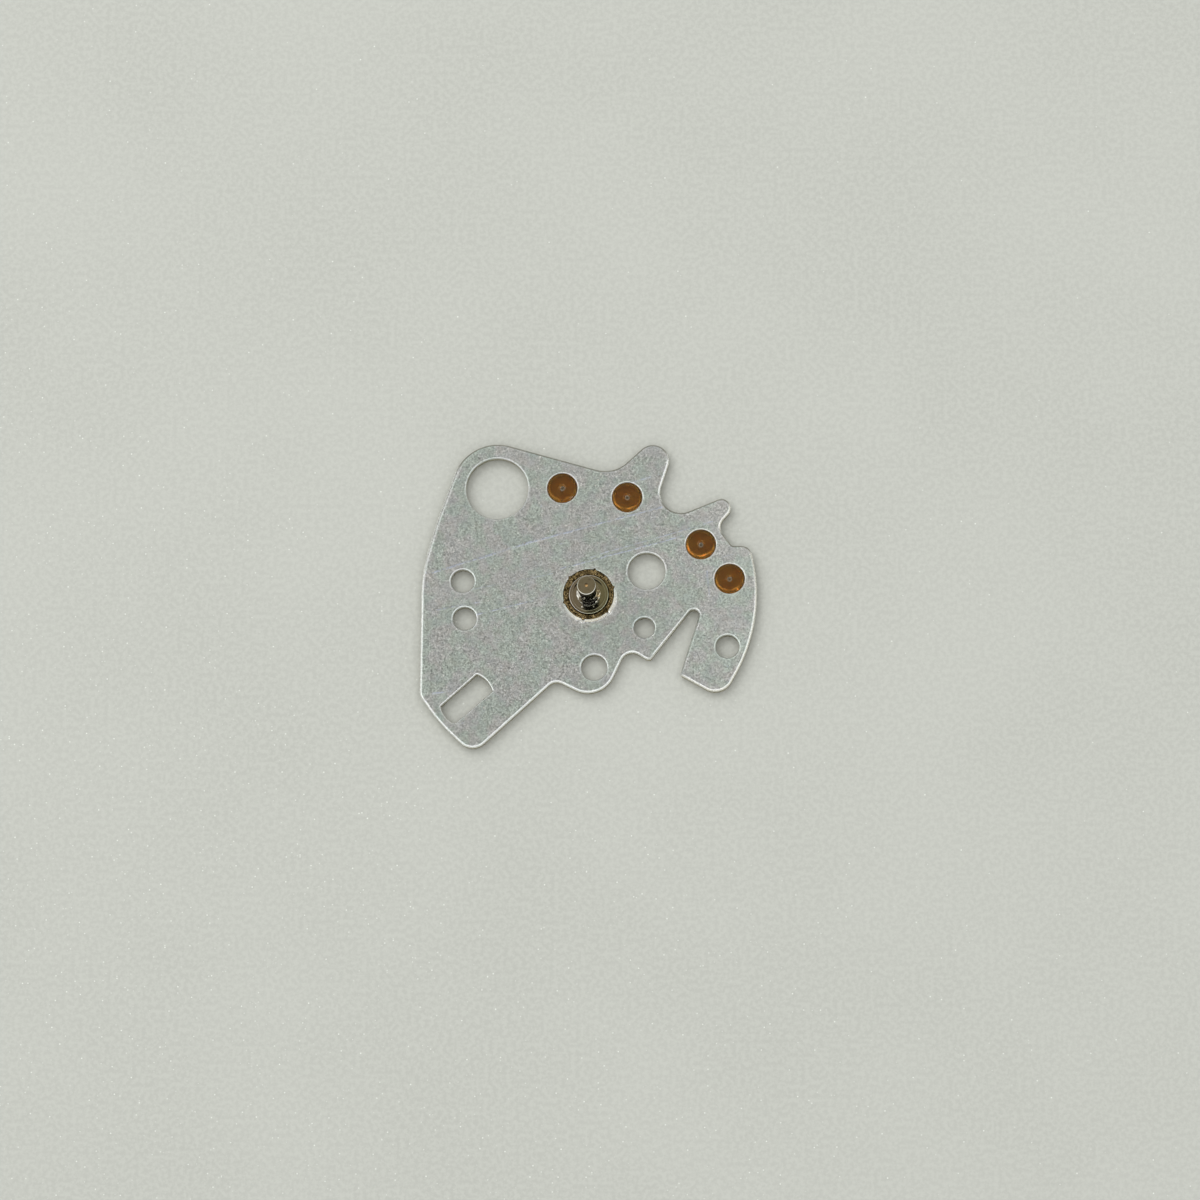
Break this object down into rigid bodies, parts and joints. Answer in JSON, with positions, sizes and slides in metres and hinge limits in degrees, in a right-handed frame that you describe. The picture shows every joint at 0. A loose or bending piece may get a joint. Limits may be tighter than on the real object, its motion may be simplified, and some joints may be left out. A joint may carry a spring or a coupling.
{
  "type": "watch movement bridge",
  "caption": "Flat stamped watch movement bridge with pressed-in pivot jewels, screw and foot holes, a slanted window, a slotted tail and a central upright rotor post in a ribbed brass collar.",
  "frame": {"origin": "on the rotor post's axis, at the plate's underside; the middle of the part's base is 0.05 mm away", "axes": "+Z out of the movement along the post; +X to the right and +Y up in a view onto the plate's top with the hooked tail at the lower right"},
  "size_m": [0.0134, 0.0124, 0.0024],
  "materials": {
    "plate": "nickel-plated, fine bead-blasted matte grain, with bright rolled edges and a few hairline scratches",
    "ruby": "clear amber to red-brown synthetic ruby, polished",
    "collar_brass": "turned brass, dulled and stained brown, with raised ribs and a fine groove",
    "post_steel": "turned steel, bright polished, with fine turning rings"
  },
  "bodies": {
    "root": {"bridge_plate": "plate", "jewel_upper_left": "ruby", "jewel_upper_middle": "ruby", "jewel_right_upper": "ruby", "jewel_right_lower": "ruby", "post_collar": "collar_brass", "rotor_post": "post_steel"}
  },
  "joints": []
}
